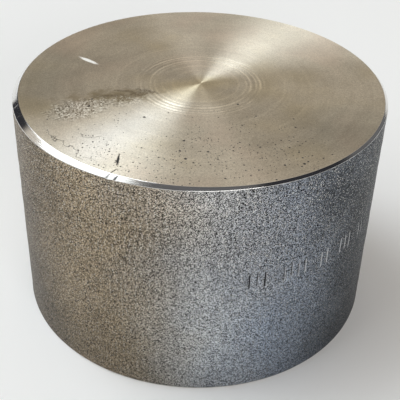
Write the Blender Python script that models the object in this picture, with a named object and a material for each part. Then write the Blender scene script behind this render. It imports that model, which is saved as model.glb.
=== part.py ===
"""Threaded blind pipe cap in forged steel, modelled as the one turned piece it is.

The origin is the centre of the open mouth's face. +Z runs along the cap's axis, from the mouth
to the closed end. Lengths are in metres.
"""

import math

import bpy
import numpy as np

# Body: a round bar turned to size and faced square at both ends.
BODY_DIAMETER = 0.076
BODY_LENGTH = 0.049
END_WALL = 0.013
MOUTH_EDGE_BREAK = 0.0006

# Chamfer round the closed face: 45 degrees, turned in a second chucking, so slightly off centre.
FACE_CHAMFER = 0.0011
FACE_CHAMFER_CENTRE = (0.00035, -0.0005)

# Internal taper pipe thread for 2 in pipe, right hand, 60 degrees.
THREADS_PER_INCH = 11.5
THREAD_PITCH_DIAMETER = 0.058325
THREAD_TAPER_ON_DIAMETER = 1.0 / 16.0
THREAD_HEIGHT_IN_PITCHES = 0.8
THREAD_FLANK_ANGLE = math.radians(30.0)
THREAD_LEAD_LENGTH = 0.003

# Hole: countersunk at the mouth, bored plain past the thread, with a rounded corner at its end.
COUNTERSINK_STANDOFF = 0.0007
BORE_RELIEF = 0.0003
PLAIN_BORE_LENGTH = 0.011
BORE_CORNER_RADIUS = 0.003

# How finely the round shapes are faceted.
BODY_SEGMENTS = 128
THREAD_SEGMENTS = 64
CORNER_STEPS = 4

# How far a cutter runs past the face it cuts, and the turn that keeps its edges off the body's.
CUTTER_OVERRUN = 0.002
CUTTER_TURN = math.radians(0.9)

STEEL_COLOUR = (0.33, 0.30, 0.26, 1.0)
STEEL_ROUGHNESS = 0.45
STEEL_METALLIC = 1.0

INCH = 0.0254
THREAD_PITCH = INCH / THREADS_PER_INCH
THREAD_HEIGHT = THREAD_HEIGHT_IN_PITCHES * THREAD_PITCH
HOLE_DEPTH = BODY_LENGTH - END_WALL
THREAD_END = HOLE_DEPTH - PLAIN_BORE_LENGTH


def thread_mean_radius(height):
    """Radius of the thread's pitch cone at a height above the mouth's face."""
    return 0.5 * (THREAD_PITCH_DIAMETER - THREAD_TAPER_ON_DIAMETER * height)


def thread_root_radius(height):
    """Radius of the bottom of the thread's groove, the widest place."""
    return thread_mean_radius(height) + 0.5 * THREAD_HEIGHT


def thread_crest_radius(height):
    """Radius of the top of the thread's ridge, the narrowest place."""
    return thread_mean_radius(height) - 0.5 * THREAD_HEIGHT


BORE_RADIUS = thread_crest_radius(THREAD_END) - BORE_RELIEF
COUNTERSINK_RADIUS = thread_root_radius(0.0) + COUNTERSINK_STANDOFF


def clear_scene():
    """Remove every object, so that the script can run again in the same file."""
    for old in list(bpy.data.objects):
        bpy.data.objects.remove(old, do_unlink=True)


def steel_material():
    """Plain steel for the whole body."""
    material = bpy.data.materials.new("forged_steel")
    material.use_nodes = True
    shader = material.node_tree.nodes["Principled BSDF"]
    shader.inputs["Base Color"].default_value = STEEL_COLOUR
    shader.inputs["Roughness"].default_value = STEEL_ROUGHNESS
    shader.inputs["Metallic"].default_value = STEEL_METALLIC
    return material


def mesh_object(name, points, faces):
    """An object with a mesh of these points and faces, linked to the scene."""
    mesh = bpy.data.meshes.new(name)
    mesh.from_pydata(points, [], faces)
    mesh.validate()
    made = bpy.data.objects.new(name, mesh)
    bpy.context.scene.collection.objects.link(made)
    return made


def ring_points(radius, height, segments, centre=(0.0, 0.0), turn=0.0):
    """Points evenly spaced round a level circle."""
    angles = turn + np.arange(segments) * (2.0 * math.pi / segments)
    across = centre[0] + radius * np.cos(angles)
    along = centre[1] + radius * np.sin(angles)
    return [(x, y, height) for x, y in zip(across.tolist(), along.tolist())]


def band_faces(lower, upper, segments):
    """Quads between two rings, given the index of each ring's first point, seen from outside."""
    faces = []
    for step in range(segments):
        after = (step + 1) % segments
        faces.append((lower + step, lower + after, upper + after, upper + step))
    return faces


def turned_solid(name, profile, segments):
    """Revolve a profile of (radius, height) that starts and ends on the axis.

    The profile runs up the outside, so that its faces point out.
    """
    first_tip = (0.0, 0.0, profile[0][1])
    last_tip = (0.0, 0.0, profile[-1][1])
    points = [first_tip]
    for radius, height in profile[1:-1]:
        points += ring_points(radius, height, segments)
    points.append(last_tip)
    last_ring = len(points) - 1 - segments
    faces = []
    for step in range(segments):
        after = (step + 1) % segments
        faces.append((0, 1 + after, 1 + step))
        faces.append((len(points) - 1, last_ring + step, last_ring + after))
    for ring in range(len(profile) - 3):
        lower = 1 + ring * segments
        faces += band_faces(lower, lower + segments, segments)
    return mesh_object(name, points, faces)


def corner_arc():
    """Points of (radius, height) round the hole's far corner, from its flat end to its side."""
    centre_radius = BORE_RADIUS - BORE_CORNER_RADIUS
    centre_height = HOLE_DEPTH - BORE_CORNER_RADIUS
    arc = []
    for step in range(CORNER_STEPS + 1):
        angle = math.radians(90.0) * (1.0 - step / CORNER_STEPS)
        radius = centre_radius + BORE_CORNER_RADIUS * math.cos(angle)
        height = centre_height + BORE_CORNER_RADIUS * math.sin(angle)
        arc.append((radius, height))
    return arc


def body_profile():
    """The body's outline: up the hole's end, down its side, round the mouth and up the outside."""
    outer_radius = 0.5 * BODY_DIAMETER
    countersink_depth = COUNTERSINK_RADIUS - BORE_RADIUS
    outline = [(0.0, HOLE_DEPTH)]
    outline += corner_arc()
    outline.append((BORE_RADIUS, countersink_depth))
    outline.append((COUNTERSINK_RADIUS, 0.0))
    outline.append((outer_radius - MOUTH_EDGE_BREAK, 0.0))
    outline.append((outer_radius, MOUTH_EDGE_BREAK))
    outline.append((outer_radius, BODY_LENGTH))
    outline.append((0.0, BODY_LENGTH))
    return outline


def make_cutter(cutter):
    """Mark an object as a cutter: it is no part of the model."""
    cutter.hide_render = True
    cutter.display_type = "WIRE"
    return cutter


def chamfer_cutter():
    """A ring whose sloping inner side is the chamfer's cone, about the chamfer's own centre."""
    inner_radius = 0.5 * BODY_DIAMETER - FACE_CHAMFER
    inside = inner_radius - CUTTER_OVERRUN
    outside = inner_radius + 3.0 * FACE_CHAMFER + CUTTER_OVERRUN
    above = BODY_LENGTH + CUTTER_OVERRUN
    below = BODY_LENGTH - (outside - inner_radius)
    points = []
    for radius, height in ((inside, above), (outside, below), (outside, above)):
        points += ring_points(radius, height, BODY_SEGMENTS, FACE_CHAMFER_CENTRE, CUTTER_TURN)
    cone, side, top = 0, BODY_SEGMENTS, 2 * BODY_SEGMENTS
    faces = band_faces(cone, side, BODY_SEGMENTS)
    faces += band_faces(side, top, BODY_SEGMENTS)
    faces += band_faces(top, cone, BODY_SEGMENTS)
    return make_cutter(mesh_object("face_chamfer_cutter", points, faces))


def thread_form():
    """Each bend of one pitch of the thread: its place in pitches, and whether it is at the root."""
    flank = THREAD_HEIGHT_IN_PITCHES * math.tan(THREAD_FLANK_ANGLE)
    flat = 0.5 - flank
    return ((0.0, False), (flat, False), (flat + flank, True), (2.0 * flat + flank, True))


def tap_radius(height, at_root):
    """The tap's radius at a height: the thread's, until its lead tapers inside the bore."""
    full = np.where(at_root, thread_root_radius(height), thread_crest_radius(height))
    tip_radius = BORE_RADIUS - 2.0 * BORE_RELIEF
    shrink = (thread_root_radius(THREAD_END) - tip_radius) / THREAD_LEAD_LENGTH
    lead = thread_root_radius(THREAD_END) - shrink * (height - THREAD_END)
    return np.maximum(np.minimum(full, lead), tip_radius)


def thread_tap():
    """The solid that the thread leaves out: turns of the thread's form on a helix, closed at its ends.

    Column by column round the axis, each bend of the form climbs one pitch in a turn, so the last
    column joins the first one a whole pitch further up.
    """
    form = thread_form()
    bends = len(form)
    start = -CUTTER_OVERRUN - THREAD_PITCH
    length = THREAD_END + THREAD_LEAD_LENGTH + THREAD_PITCH - start
    turns = math.ceil(length / THREAD_PITCH)
    rows = bends * turns
    row = np.arange(rows)
    places = np.array([place for place, _ in form])[row % bends] + row // bends
    at_root = np.array([root for _, root in form])[row % bends]
    share = np.arange(THREAD_SEGMENTS)[:, None] / THREAD_SEGMENTS
    heights = start + THREAD_PITCH * (places[None, :] + share)
    radii = tap_radius(heights, at_root[None, :])
    angles = 2.0 * math.pi * share + CUTTER_TURN
    grid = np.stack((radii * np.cos(angles), radii * np.sin(angles), heights), axis=-1)
    points = grid.reshape(-1, 3).tolist()
    low_tip = len(points)
    high_tip = low_tip + 1
    points.append((0.0, 0.0, start))
    points.append((0.0, 0.0, start + THREAD_PITCH * (turns + 1)))

    def index(column, level):
        """The index of a point, where the column after the last one is the first, a pitch up."""
        if column == THREAD_SEGMENTS:
            return level + bends
        return column * rows + level

    faces = []
    for column in range(THREAD_SEGMENTS):
        top = rows - 1 - (bends if column == THREAD_SEGMENTS - 1 else 0)
        for level in range(top):
            low = (index(column, level), index(column + 1, level))
            high = (index(column + 1, level + 1), index(column, level + 1))
            faces.append(low + high)
        faces.append((low_tip, index(column + 1, 0), index(column, 0)))
        faces.append((high_tip, index(column, top), index(column + 1, top)))
    last = THREAD_SEGMENTS - 1
    for level in range(bends):
        faces.append((low_tip, index(0, level), index(0, level + 1)))
        above = rows - 1 - level
        faces.append((high_tip, index(last, above), index(last, above - 1)))
    return make_cutter(mesh_object("thread_tap", points, faces))


def cut(body, cutter, name):
    """Take a cutter's solid out of the body."""
    modifier = body.modifiers.new(name, "BOOLEAN")
    modifier.operation = "DIFFERENCE"
    modifier.solver = "EXACT"
    modifier.object = cutter


def build_cap_body():
    """The cap: the turned body with its thread and its face chamfer cut."""
    body = turned_solid("cap_body", body_profile(), BODY_SEGMENTS)
    cut(body, thread_tap(), "thread")
    cut(body, chamfer_cutter(), "face_chamfer")
    body.data.materials.append(steel_material())
    body.data.shade_smooth()
    body.data.set_sharp_from_angle(angle=math.radians(20.0))
    return body


def main():
    """Build the model in an empty scene."""
    clear_scene()
    build_cap_body()


main()
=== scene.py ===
"""Finished look of a threaded forged-steel pipe cap, in the place and size of its plain CAD body.

The cap stands on its open mouth, so +Z runs from the mouth to the closed face. Lengths are in
metres. One closed mesh stands for the whole cap: hole, thread, rim, wall, chamfer and face.
"""

import logging
import math
from dataclasses import dataclass, field
from enum import Enum
from typing import Callable, Optional, Sequence, Union

import bpy
import numpy as np
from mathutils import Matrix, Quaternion, Vector


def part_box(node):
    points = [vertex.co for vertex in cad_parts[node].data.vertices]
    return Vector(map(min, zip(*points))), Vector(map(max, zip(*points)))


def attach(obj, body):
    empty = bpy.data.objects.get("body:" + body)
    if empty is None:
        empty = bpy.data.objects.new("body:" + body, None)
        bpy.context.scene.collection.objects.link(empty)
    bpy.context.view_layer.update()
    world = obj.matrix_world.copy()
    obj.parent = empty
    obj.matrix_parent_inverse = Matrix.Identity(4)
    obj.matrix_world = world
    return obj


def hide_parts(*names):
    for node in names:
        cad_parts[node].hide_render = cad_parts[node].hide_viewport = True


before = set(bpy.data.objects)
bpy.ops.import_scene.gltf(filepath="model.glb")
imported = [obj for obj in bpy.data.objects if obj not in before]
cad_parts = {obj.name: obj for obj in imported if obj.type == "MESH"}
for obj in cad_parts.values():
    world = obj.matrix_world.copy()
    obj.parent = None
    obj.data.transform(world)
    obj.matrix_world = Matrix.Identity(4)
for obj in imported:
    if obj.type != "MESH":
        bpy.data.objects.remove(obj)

log = logging.getLogger("pipe_cap")

MM = 0.001
FULL_TURN = 2.0 * math.pi
CAD_NODE = "cap_body"
PUNCHED = "punched"

Socket = bpy.types.NodeSocket
Value = Union[Socket, float, Sequence[float]]
Colour = tuple[float, float, float, float]
Sockets = bpy.types.bpy_prop_collection


class Region(Enum):
    """The differently finished parts of the cap's surface, in the order of its materials."""

    BORE = 0
    THREAD = 1
    RIM = 2
    WALL = 3
    CHAMFER = 4
    FACE = 5


FaceKeeper = Callable[[np.ndarray, Region], None]


@dataclass(frozen=True)
class Groove:
    """A ring-shaped tool groove in the face: its radius in cap radii, half width and depth."""

    place: float
    half_width: float
    depth: float


DEEPEST_GROOVE = 0.085 * MM
FACE_GROOVES = (
    Groove(0.255, 0.30 * MM, 0.040 * MM),
    Groove(0.281, 0.34 * MM, DEEPEST_GROOVE),
    Groove(0.307, 0.26 * MM, 0.050 * MM),
    Groove(0.331, 0.32 * MM, 0.080 * MM),
    Groove(0.352, 0.24 * MM, 0.035 * MM),
    Groove(0.215, 0.40 * MM, 0.028 * MM),
    Groove(0.160, 0.40 * MM, 0.018 * MM),
    Groove(0.470, 0.60 * MM, 0.010 * MM),
    Groove(0.610, 0.60 * MM, 0.008 * MM),
    Groove(0.780, 0.60 * MM, 0.008 * MM),
)


# ---------------------------------------------------------------------------
# Shader graphs
# ---------------------------------------------------------------------------


class Graph:
    """A node tree under construction, with a short call for each kind of node it needs."""

    def __init__(self, tree: bpy.types.NodeTree) -> None:
        """Wrap the node tree that the calls add to."""
        self.tree = tree

    def put(self, target: Socket, value: Value) -> None:
        """Feed a socket.

        Args:
            target: The input to feed.
            value: An output socket to link, or a constant.
        """
        if isinstance(value, bpy.types.NodeSocket):
            self.tree.links.new(value, target)
        else:
            target.default_value = value

    def add(self, kind: str, inputs: Optional[dict] = None, **settings: object) -> bpy.types.Node:
        """Add one node.

        Args:
            kind: The node's type name.
            inputs: Values or sockets by input name or index.
            **settings: Properties of the node.

        Returns:
            The new node.
        """
        node = self.tree.nodes.new(kind)
        for name, value in settings.items():
            setattr(node, name, value)
        for name, value in (inputs or {}).items():
            self.put(node.inputs[name], value)
        return node

    def math(self, operation: str, first: Value, second: Value = 0.0, clamp: bool = False) -> Socket:
        """The result of a Math node, kept between 0 and 1 if clamped."""
        node = self.add("ShaderNodeMath", {0: first, 1: second}, operation=operation, use_clamp=clamp)
        return node.outputs[0]

    def ramp(self, value: Value, low: float, high: float, start: float = 0.0, end: float = 1.0) -> Socket:
        """A smooth step from one number to another as a value rises.

        Args:
            value: The value that drives the step.
            low: Where the step starts.
            high: Where the step ends.
            start: The number before the step.
            end: The number after it.

        Returns:
            The stepped number.
        """
        inputs = {"Value": value, "From Min": low, "From Max": high, "To Min": start, "To Max": end}
        node = self.add("ShaderNodeMapRange", inputs, interpolation_type="SMOOTHSTEP")
        return node.outputs["Result"]

    def linear(self, value: Value, low: float, high: float, start: float, end: float) -> Socket:
        """A straight ramp from start to end as a value goes from low to high, clamped at its ends."""
        inputs = {"Value": value, "From Min": low, "From Max": high, "To Min": start, "To Max": end}
        return self.add("ShaderNodeMapRange", inputs).outputs["Result"]

    def noise(self, place: Value, scale: Value, detail: float = 2.0, rough: float = 0.5) -> Socket:
        """Noise about 0.5 in space, of so many features per metre, octaves and roughness."""
        inputs = {"Vector": place, "Scale": scale, "Detail": detail, "Roughness": rough}
        return self.add("ShaderNodeTexNoise", inputs).outputs[0]

    def line_noise(self, along: Value, scale: Value, detail: float) -> Socket:
        """Noise about 0.5 along one number, of so many features per unit and octaves."""
        inputs = {"W": along, "Scale": scale, "Detail": detail, "Roughness": 0.6}
        return self.add("ShaderNodeTexNoise", inputs, noise_dimensions="1D").outputs[0]

    def mix(self, share: Value, first: Value, second: Value, blend: str = "MIX") -> Socket:
        """Mix two colours.

        Args:
            share: How much of the second colour.
            first: The colour underneath.
            second: The colour on top.
            blend: The way they mix.

        Returns:
            The mixed colour.
        """
        node = self.add("ShaderNodeMix", data_type="RGBA", blend_type=blend)
        for index, value in ((0, share), (6, first), (7, second)):
            self.put(node.inputs[index], value)
        return node.outputs[2]

    def scaled(self, colour: Value, amount: Value) -> Socket:
        """A colour times a number."""
        node = self.add("ShaderNodeVectorMath", {0: colour, "Scale": amount}, operation="SCALE")
        return node.outputs[0]

    def weighted(self, *parts: tuple[Value, Value], start: float = 0.0) -> Socket:
        """A start value plus some values, each times its weight.

        Args:
            *parts: Pairs of a value and its weight.
            start: What is there before the first.

        Returns:
            The sum.
        """
        total: Value = start
        for value, weight in parts:
            inputs = {0: value, 1: weight, 2: total}
            total = self.add("ShaderNodeMath", inputs, operation="MULTIPLY_ADD").outputs[0]
        return total

    def greatest(self, first: Value, *others: Value) -> Socket:
        """The greatest of some values.

        Args:
            first: The first value.
            *others: The others.

        Returns:
            The greatest.
        """
        for other in others:
            first = self.math("MAXIMUM", first, other)
        return first

    def both(self, first: Value, second: Value) -> Socket:
        """Two masks multiplied, or a mask at a share of its strength."""
        return self.math("MULTIPLY", first, second)

    def colour_ramp(self, value: Value, stops: Sequence[tuple[float, Colour]]) -> Socket:
        """Colours in a row along a value from 0 to 1.

        Args:
            value: The value.
            stops: Places along it, each with its colour.

        Returns:
            The colour.
        """
        node = self.add("ShaderNodeValToRGB", {"Fac": value})
        bar = node.color_ramp.elements
        while len(bar) < len(stops):
            bar.new(1.0)
        for element, (place, colour) in zip(bar, stops):
            element.position = place
            element.color = colour
        return node.outputs["Color"]

    def split(self, vector: Value) -> tuple[Socket, Socket, Socket]:
        """The three numbers of a vector."""
        outputs = self.add("ShaderNodeSeparateXYZ", {0: vector}).outputs
        return outputs[0], outputs[1], outputs[2]

    def facing(self, direction: Value, way: tuple[float, float, float], low: float, high: float) -> Socket:
        """How nearly a direction of length 1 points one way, from the cosine low to the cosine high."""
        cosine = self.add("ShaderNodeVectorMath", {0: direction, 1: way}, operation="DOT_PRODUCT")
        return self.ramp(cosine.outputs["Value"], low, high)

    def joined(self, x: Value, y: Value, z: Value) -> Socket:
        """A vector from three numbers."""
        return self.add("ShaderNodeCombineXYZ", {0: x, 1: y, 2: z}).outputs[0]

    def length(self, vector: Value) -> Socket:
        """A vector's length."""
        return self.add("ShaderNodeVectorMath", {0: vector}, operation="LENGTH").outputs["Value"]

    def bump(self, height: Value, distance: float, below: Optional[Socket] = None) -> Socket:
        """A bumped normal.

        Args:
            height: The height, from 0 to 1.
            distance: What a height of 1 stands for, in metres.
            below: A normal that is bumped already.

        Returns:
            The bumped normal.
        """
        inputs = {"Height": height, "Distance": distance, "Strength": 1.0}
        if below is not None:
            inputs["Normal"] = below
        return self.add("ShaderNodeBump", inputs).outputs["Normal"]

    def group(self, tree: bpy.types.NodeTree, inputs: dict) -> bpy.types.Node:
        """Place a node group.

        Args:
            tree: The group's tree.
            inputs: Values or sockets by input name.

        Returns:
            The group node.
        """
        node = self.tree.nodes.new("ShaderNodeGroup")
        node.node_tree = tree
        for name, value in inputs.items():
            self.put(node.inputs[name], value)
        return node


class GroupBuilder(Graph):
    """A node group under construction."""

    def __init__(self, name: str, inputs: dict[str, str], outputs: dict[str, str]) -> None:
        """Make an empty group.

        Args:
            name: The group's name.
            inputs: Socket types by input name.
            outputs: Socket types by output name.
        """
        super().__init__(bpy.data.node_groups.new(name, "ShaderNodeTree"))
        for side, sockets in (("INPUT", inputs), ("OUTPUT", outputs)):
            for socket, kind in sockets.items():
                self.tree.interface.new_socket(socket, in_out=side, socket_type=kind)
        self.given = self.tree.nodes.new("NodeGroupInput").outputs
        self.results = self.tree.nodes.new("NodeGroupOutput").inputs


NUMBER = "NodeSocketFloat"
TRIPLE = "NodeSocketVector"


def ring_mark_group() -> bpy.types.NodeTree:
    """Marks of a lathe tool round the axis: noise that changes with the distance from it.

    The height is fine line noise along the radius. The streak is noise on the point
    (direction, radius), so it draws arcs that fade in and out along the turn.

    Returns:
        The group, with a Height and a Streak, both about 0.5, and the Radius.
    """
    made = GroupBuilder(
        "Ring marks",
        {"Vector": TRIPLE, "Fineness": NUMBER, "Arc Scale": NUMBER},
        {"Height": NUMBER, "Streak": NUMBER, "Radius": NUMBER},
    )
    x, y, _ = made.split(made.given["Vector"])
    flat = made.joined(x, y, 0.0)
    radius = made.length(flat)
    direction = made.add("ShaderNodeVectorMath", {0: flat}, operation="NORMALIZE").outputs[0]
    across, along, _ = made.split(direction)
    arc_place = made.joined(across, along, made.math("MULTIPLY", radius, made.given["Arc Scale"]))
    made.put(made.results["Height"], made.line_noise(radius, made.given["Fineness"], 4.0))
    made.put(made.results["Streak"], made.noise(arc_place, 1.6, 4.0, 0.6))
    made.put(made.results["Radius"], radius)
    return made.tree


def grain_group() -> bpy.types.NodeTree:
    """Peened grain of a blasted surface: fine noise mixed with flat-toned cells, and bright points.

    The glint points, where painted glints go, are the middles of larger cells, of which fewer than half
    are chosen.

    Returns:
        The group, with a Tone about 0.5, a Height and a Glint mask.
    """
    made = GroupBuilder(
        "Blasted grain",
        {"Vector": TRIPLE, "Scale": NUMBER},
        {"Tone": NUMBER, "Height": NUMBER, "Glint": NUMBER},
    )
    place, scale = made.given["Vector"], made.given["Scale"]
    fine = made.noise(place, scale, 1.0, 0.6)
    coarse = made.noise(place, made.math("MULTIPLY", scale, 0.5), 1.0, 0.5)
    cells = made.add("ShaderNodeTexVoronoi", {"Vector": place, "Scale": scale})
    cell_tone = made.split(cells.outputs["Color"])[0]
    made.put(made.results["Tone"], made.weighted((fine, 0.45), (coarse, 0.05), (cell_tone, 0.5)))
    made.put(made.results["Height"], made.weighted((fine, 0.85), (coarse, 0.15)))
    larger = made.math("MULTIPLY", scale, 0.36)
    points = made.add("ShaderNodeTexVoronoi", {"Vector": place, "Scale": larger}).outputs
    chosen = made.math("GREATER_THAN", made.split(points["Color"])[1], 0.55)
    spot = made.ramp(points["Distance"], 0.36, 0.24)
    made.put(made.results["Glint"], made.math("MULTIPLY", spot, chosen))
    return made.tree


def pit_group() -> bpy.types.NodeTree:
    """Scattered round pits on a level surface.

    The plane is split into cells about one spacing wide. A share of the cells holds a pit, which
    is every place nearer its point than the pit's size.

    Returns:
        The group, with a Pit mask.
    """
    made = GroupBuilder(
        "Pits",
        {"Vector": TRIPLE, "Spacing": NUMBER, "Size": NUMBER, "Share": NUMBER},
        {"Pit": NUMBER},
    )
    scale = made.math("DIVIDE", 1.0, made.given["Spacing"])
    cells = made.add("ShaderNodeTexVoronoi", {"Vector": made.given["Vector"], "Scale": scale},
                     voronoi_dimensions="2D")
    distance = made.math("MULTIPLY", cells.outputs["Distance"], made.given["Spacing"])
    pick, size_pick, _ = made.split(cells.outputs["Color"])
    size = made.math("MULTIPLY", made.given["Size"], made.linear(size_pick, 0.0, 1.0, 0.45, 1.1))
    depth = made.math("SUBTRACT", 1.0, made.math("DIVIDE", distance, size), clamp=True)
    sharp = made.ramp(depth, 0.0, 0.35)
    chosen = made.math("LESS_THAN", pick, made.given["Share"])
    made.put(made.results["Pit"], made.math("MULTIPLY", sharp, chosen))
    return made.tree


def patch_group() -> bpy.types.NodeTree:
    """One ragged oval patch: the place mapped to a unit circle, its edge broken by noise.

    Returns:
        The group, with a Patch mask.
    """
    made = GroupBuilder(
        "Ragged patch",
        {"Vector": TRIPLE, "Centre": TRIPLE, "Turn": TRIPLE, "Half Size": TRIPLE,
         "Ragged": NUMBER, "Ragged Scale": NUMBER, "Softness": NUMBER},
        {"Patch": NUMBER},
    )
    given = made.given
    mapped = made.add(
        "ShaderNodeMapping",
        {"Vector": given["Vector"], "Location": given["Centre"], "Rotation": given["Turn"],
         "Scale": given["Half Size"]},
        vector_type="TEXTURE",
    ).outputs[0]
    broken = made.math("SUBTRACT", made.noise(given["Vector"], given["Ragged Scale"], 3.0, 0.6), 0.5)
    reach = made.math("ADD", made.length(mapped), made.math("MULTIPLY", broken, given["Ragged"]))
    inside = made.math("DIVIDE", made.math("SUBTRACT", 1.0, reach), given["Softness"], clamp=True)
    made.put(made.results["Patch"], made.ramp(inside, 0.0, 1.0))
    return made.tree


@dataclass(frozen=True)
class SharedGroups:
    """The node groups that several finishes place."""

    rings: bpy.types.NodeTree
    grain: bpy.types.NodeTree
    pits: bpy.types.NodeTree
    patch: bpy.types.NodeTree

    @classmethod
    def build(cls) -> "SharedGroups":
        """Build every group once."""
        return cls(ring_mark_group(), grain_group(), pit_group(), patch_group())


# ---------------------------------------------------------------------------
# Finishes
# ---------------------------------------------------------------------------


@dataclass(frozen=True)
class Blotch:
    """One oval mark on the face. Its centre and its half length and half width are in cap radii.

    It is turned from +X by an angle in radians. Ragged is how much noise breaks its edge, softness
    is how slowly it fades in from there, and detail is the edge's features per metre.
    """

    centre: tuple[float, float]
    half: tuple[float, float]
    turn: float
    ragged: float
    softness: float = 0.5
    detail: float = 600.0


@dataclass(frozen=True)
class HairCrack:
    """A fine crack that wavers between two distances, in cap radii, inside one blotch's area.

    It is darkest inside its core and fades out to its half width, both in metres.
    """

    low: float
    high: float
    half_width: float
    strength: float
    extent: Blotch
    core: float = 0.05 * MM


@dataclass(frozen=True)
class Canvas:
    """What a finish draws its marks with: the shader graph, the shared groups and the cap's radius."""

    graph: Graph
    groups: SharedGroups
    place: Socket
    radius: float

    def rings(self, fineness: float, arc_scale: float) -> Sockets:
        """Tool marks, of so many rings and arcs per metre: the outputs Height, Streak and Radius."""
        inputs = {"Vector": self.place, "Fineness": fineness, "Arc Scale": arc_scale}
        return self.graph.group(self.groups.rings, inputs).outputs

    def grain(self, scale: float) -> Sockets:
        """Blasted grain, of so many grains per metre: the outputs Tone, Height and Glint."""
        return self.graph.group(self.groups.grain, {"Vector": self.place, "Scale": scale}).outputs

    def pits(self, spacing: float, size: float, share: Value) -> Socket:
        """Scattered round pits: spacing and half width in metres, and the share of places with one."""
        inputs = {"Vector": self.place, "Spacing": spacing, "Size": size, "Share": share}
        return self.graph.group(self.groups.pits, inputs).outputs["Pit"]

    def patch(self, mark: Blotch) -> Socket:
        """One oval mark on a level surface.

        Args:
            mark: The mark.

        Returns:
            Its mask.
        """
        x, y, _ = self.graph.split(self.place)
        inputs = {
            "Vector": self.graph.joined(x, y, 0.0),
            "Centre": (mark.centre[0] * self.radius, mark.centre[1] * self.radius, 0.0),
            "Turn": (0.0, 0.0, mark.turn),
            "Half Size": (mark.half[0] * self.radius, mark.half[1] * self.radius, 1.0),
            "Ragged": mark.ragged,
            "Ragged Scale": mark.detail,
            "Softness": mark.softness,
        }
        return self.graph.group(self.groups.patch, inputs).outputs["Patch"]

    def patches(self, marks: Sequence[Blotch]) -> Socket:
        """The mask of several oval marks together."""
        return self.graph.greatest(*(self.patch(mark) for mark in marks))

    def hair_crack(self, crack: HairCrack, waver: Socket, along: Socket) -> Socket:
        """A fine dark line where a distance equals a wavering one.

        Args:
            crack: The crack.
            waver: Noise about 0.5 that makes it waver.
            along: The distance that is compared, in metres.

        Returns:
            The crack's mask.
        """
        graph = self.graph
        line = graph.linear(waver, 0.3, 0.7, crack.low * self.radius, crack.high * self.radius)
        away = graph.math("ABSOLUTE", graph.math("SUBTRACT", along, line))
        thin = graph.ramp(away, crack.half_width, crack.core, 0.0, crack.strength)
        return graph.both(thin, self.patch(crack.extent))


@dataclass(frozen=True)
class Finish:
    """What every finish of the steel has: a name and a Principled shader's plain values."""

    name: str
    roughness: float
    anisotropy: float = 0.0

    def material(self, groups: SharedGroups, radius: float) -> bpy.types.Material:
        """Build the material.

        Args:
            groups: The shared node groups.
            radius: The cap's outer radius.

        Returns:
            The material.
        """
        material = bpy.data.materials.new(self.name)
        material.use_nodes = True
        graph = Graph(material.node_tree)
        shader = material.node_tree.nodes["Principled BSDF"].inputs
        shader["Metallic"].default_value = 1.0
        shader["Roughness"].default_value = self.roughness
        if self.anisotropy:
            turn = graph.add("ShaderNodeTangent", direction_type="RADIAL", axis="Z")
            graph.put(shader["Tangent"], turn.outputs[0])
            shader["Anisotropic"].default_value = self.anisotropy
            shader["Anisotropic Rotation"].default_value = 0.25
        place = graph.add("ShaderNodeTexCoord").outputs["Object"]
        self.paint(Canvas(graph, groups, place, radius), shader)
        return material

    def paint(self, canvas: Canvas, shader: Sockets) -> None:
        """Feed the shader's inputs with the finish's own marks."""
        raise NotImplementedError


@dataclass(frozen=True)
class PitLayer:
    """Pits of one size: their spacing and half width in metres, and the share of places with one.

    They start at one place towards the front, in cap radii, and are thickest at another.
    """

    spacing: float
    size: float
    share: float
    start: float
    thickest: float


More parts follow.
